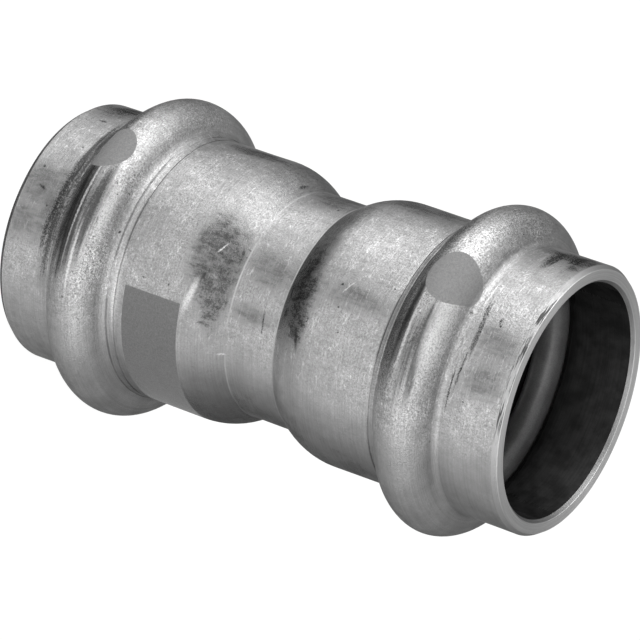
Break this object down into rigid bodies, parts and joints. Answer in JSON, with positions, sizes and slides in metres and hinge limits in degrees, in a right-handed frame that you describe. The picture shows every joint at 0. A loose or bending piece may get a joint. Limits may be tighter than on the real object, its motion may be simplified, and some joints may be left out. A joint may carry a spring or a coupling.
{
  "type": "press fit coupling",
  "caption": "Straight press fit pipe coupling: a formed stainless tube with a beaded socket at each end, a seal ring in each bead, and a narrower neck between that stops the tubes.",
  "frame": {"origin": "centre of the lower mouth, in the plane the coupling stands on", "axes": "+Z along the tube axis, out of the upper mouth"},
  "size_m": [0.0312, 0.0312, 0.055],
  "materials": {
    "steel": "formed and pickled stainless, finely scratched, with worn dark marks along the creases",
    "seal": "smooth, satin"
  },
  "bodies": {
    "root": {"fitting_body": "steel", "lower_seal_ring": "seal", "upper_seal_ring": "seal"}
  },
  "joints": []
}
